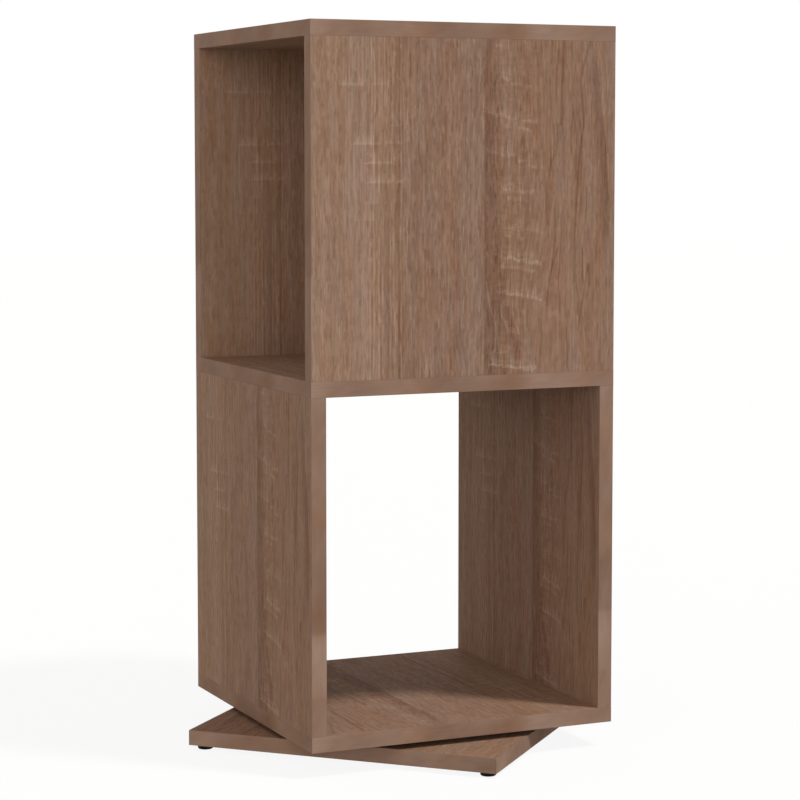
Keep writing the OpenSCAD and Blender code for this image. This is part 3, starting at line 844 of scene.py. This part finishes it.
def cut_cross(bm, foot, rim):
    """Closes a screw head's flat inside its rim, round a cross-shaped recess."""
    arm = [(CROSS_REACH, -CROSS_HALF_W), (CROSS_REACH, CROSS_HALF_W), (CROSS_HALF_W, CROSS_HALF_W)]
    corners = []
    for cos, sin in ((1, 0), (0, 1), (-1, 0), (0, -1)):
        corners += [(x * cos - y * sin, x * sin + y * cos) for x, y in arm]
    mouth = [bm.verts.new((foot + Vector((x, y, 0.0))) * MM) for x, y in corners]
    floor = [bm.verts.new((foot + Vector((x, y, CROSS_DEPTH))) * MM) for x, y in corners]
    edges = []
    for side in range(len(corners)):
        after = (side + 1) % len(corners)
        bm.faces.new((mouth[side], mouth[after], floor[after], floor[side]))
        edges.append(bm.edges.get((mouth[side], mouth[after])))
    bm.faces.new(floor)
    for side in range(len(rim)):
        edges.append(bm.edges.get((rim[side], rim[(side + 1) % len(rim)])))
    bmesh.ops.triangle_fill(bm, edges=edges, use_beauty=True)


def add_fittings(materials):
    """Puts detailed fittings in the places of the CAD model's plain ones."""
    makers = {"_dowels": add_dowel, "_cam_bolts": add_cam_bolt, "_screws": add_screw}
    record = frame["record"]
    for body, nodes in record["behaviour"]["bodies"].items():
        for node in nodes:
            ending = next((ending for ending in makers if node.endswith(ending)), None)
            if ending is None:
                continue
            bm = bmesh.new()
            for solid in solids(node):
                makers[ending](bm, node, solid)
            bmesh.ops.recalc_face_normals(bm, faces=bm.faces)
            mesh = bpy.data.meshes.new(node + "_turned")
            bm.to_mesh(mesh)
            bm.free()
            mesh.shade_smooth()
            mesh.set_sharp_from_angle(angle=math.radians(SHARP_ANGLE))
            mesh.materials.append(materials[ending])
            piece = bpy.data.objects.new(node + "_turned", mesh)
            bpy.context.collection.objects.link(piece)
            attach(piece, body)
            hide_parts(node)


def background_rays(g):
    """1 for the rays that see the background plainly: from the camera, and from gloss or glass."""
    rays = g.node("ShaderNodeLightPath")
    seen = g.math("MAXIMUM", g.out(rays, "Is Camera Ray"), g.out(rays, "Is Glossy Ray"))
    return g.math("MAXIMUM", seen, g.out(rays, "Is Transmission Ray"))


# The floor: half its side in metres, its grey and roughness, and how far plain white covers its shading
FLOOR_HALF = 12.0
FLOOR_GREY = 0.9
FLOOR_ROUGHNESS = 0.9
FLOOR_WHITENESS = 0.9


def stage_floor():
    """A wide white floor that shows the object's shadow faintly."""
    mesh = bpy.data.meshes.new("floor")
    corners = [(x * FLOOR_HALF, y * FLOOR_HALF, 0) for x, y in ((-1, -1), (1, -1), (1, 1), (-1, 1))]
    mesh.from_pydata(corners, [], [(0, 1, 2, 3)])
    floor = bpy.data.objects.new("floor", mesh)
    bpy.context.collection.objects.link(floor)
    material, g, shader = new_material("floor_white")
    shader.inputs["Base Color"].default_value = (FLOOR_GREY, FLOOR_GREY, FLOOR_GREY, 1.0)
    shader.inputs["Roughness"].default_value = FLOOR_ROUGHNESS
    shader.inputs["Specular IOR Level"].default_value = 0.0
    white = g.node("ShaderNodeEmission", {"Color": (1, 1, 1, 1), "Strength": 1.0})
    mix = g.node("ShaderNodeMixShader", {"Fac": background_rays(g) * FLOOR_WHITENESS})
    g.tree.links.new(shader.outputs["BSDF"], mix.inputs[1])
    g.tree.links.new(white.outputs["Emission"], mix.inputs[2])
    output = material.node_tree.nodes["Material Output"]
    g.tree.links.new(mix.outputs["Shader"], output.inputs["Surface"])
    mesh.materials.append(material)
    floor.visible_diffuse = False


# Light colours
WHITE = (1.0, 1.0, 1.0)
WARM = (1.0, 0.935, 0.86)


def light_world(strength, tint):
    """Even tinted light from all round, seen as plain white behind the object."""
    world = bpy.data.worlds.new("studio")
    world.use_nodes = True
    bpy.context.scene.world = world
    g = Graph(world.node_tree)
    background = world.node_tree.nodes["Background"]
    seen = background_rays(g)
    g.tree.links.new((strength + seen * (1.0 - strength)).socket, background.inputs["Strength"])
    red, green, blue = (part + seen * (1.0 - part) for part in tint)
    colour = g.node("ShaderNodeCombineColor", {"Red": red, "Green": green, "Blue": blue})
    g.tree.links.new(colour.outputs["Color"], background.inputs["Color"])


def light_sun(name, strength, azimuth, elevation, angle, tint=WHITE):
    """A distant lamp; azimuth is to the right of the front, and angle its apparent width, in degrees."""
    lamp = bpy.data.lights.new(name, "SUN")
    lamp.energy = strength
    lamp.color = tint
    lamp.angle = math.radians(angle)
    sun = bpy.data.objects.new(name, lamp)
    sun.rotation_euler = (math.radians(90 - elevation), 0.0, math.radians(azimuth))
    bpy.context.collection.objects.link(sun)


def place_camera():
    """Sets up the photograph's camera."""
    lens = bpy.data.cameras.new("camera")
    lens.sensor_width = SENSOR_WIDTH
    lens.lens = FOCAL_PIXELS / PICTURE_SIDE * SENSOR_WIDTH
    lens.shift_y = CAMERA_SHIFT_Y
    camera = bpy.data.objects.new("camera", lens)
    camera.location = CAMERA_PLACE
    camera.rotation_euler = (math.radians(90 + CAMERA_PITCH), 0.0, math.radians(-CAMERA_YAW))
    bpy.context.collection.objects.link(camera)
    bpy.context.scene.camera = camera


decor = build_decor()
upright = upright_board(decor)
level = level_board("oak_level", decor, 0.0)
steel = fitting("zinc_plated_steel", srgb(186, 188, 190), roughness=0.32, metallic=1.0)
zinc = fitting("die_cast_zinc", srgb(160, 162, 163), roughness=0.45, metallic=1.0)
beech = fitting("beech", srgb(205, 172, 128), roughness=0.7, gloss=0.2, grain=(0.35, 5.0))
aluminium = fitting("turned_aluminium", srgb(202, 204, 206), roughness=0.34, metallic=1.0,
                    grain=(0.12, 0.12), turned=True)
# Materials by the end of a node's name; the last, empty ending is for the feet
materials = {
    "base_plate": level_board("oak_base", decor, BASE_TURN),
    "top_panel": level,
    "middle_panel": level_board("oak_middle", decor, math.pi),
    "bottom_panel": level,
    "base_plate_edge_bands": edge_band("oak_band_base", upright=False),
    "_panel_edge_bands": edge_band("oak_band_level", upright=False),
    "_edge_bands": edge_band("oak_band_upright", upright=True),
    "_panel": upright,
    "_cam_caps": upright,
    "_dowels": beech,
    "_cam_bolts": steel,
    "_cam_locks": zinc,
    "_screws": steel,
    "_ring": aluminium,
    "bearing_balls": fitting("polished_steel", srgb(200, 202, 205), roughness=0.12, metallic=1.0),
    "ball_cage": fitting("natural_nylon", srgb(230, 226, 214), roughness=0.5),
    "": fitting("black_plastic", srgb(8, 8, 9), roughness=0.6, gloss=0.1),
}
dress(materials)
add_fittings(materials)
stage_floor()
light_world(strength=0.38, tint=WARM)
light_sun("key", strength=2.1, azimuth=44.5, elevation=58.0, angle=7.5)
light_sun("front_fill", strength=1.4, azimuth=-20.0, elevation=3.0, angle=40.0)
light_sun("left_fill", strength=0.43, azimuth=-60.0, elevation=5.0, angle=50.0, tint=WARM)
light_sun("left_high", strength=0.19, azimuth=-60.0, elevation=45.0, angle=60.0, tint=WARM)
light_sun("rear_fill", strength=0.85, azimuth=195.0, elevation=8.0, angle=40.0, tint=WARM)
place_camera()
bpy.context.scene.view_settings.view_transform = "Standard"
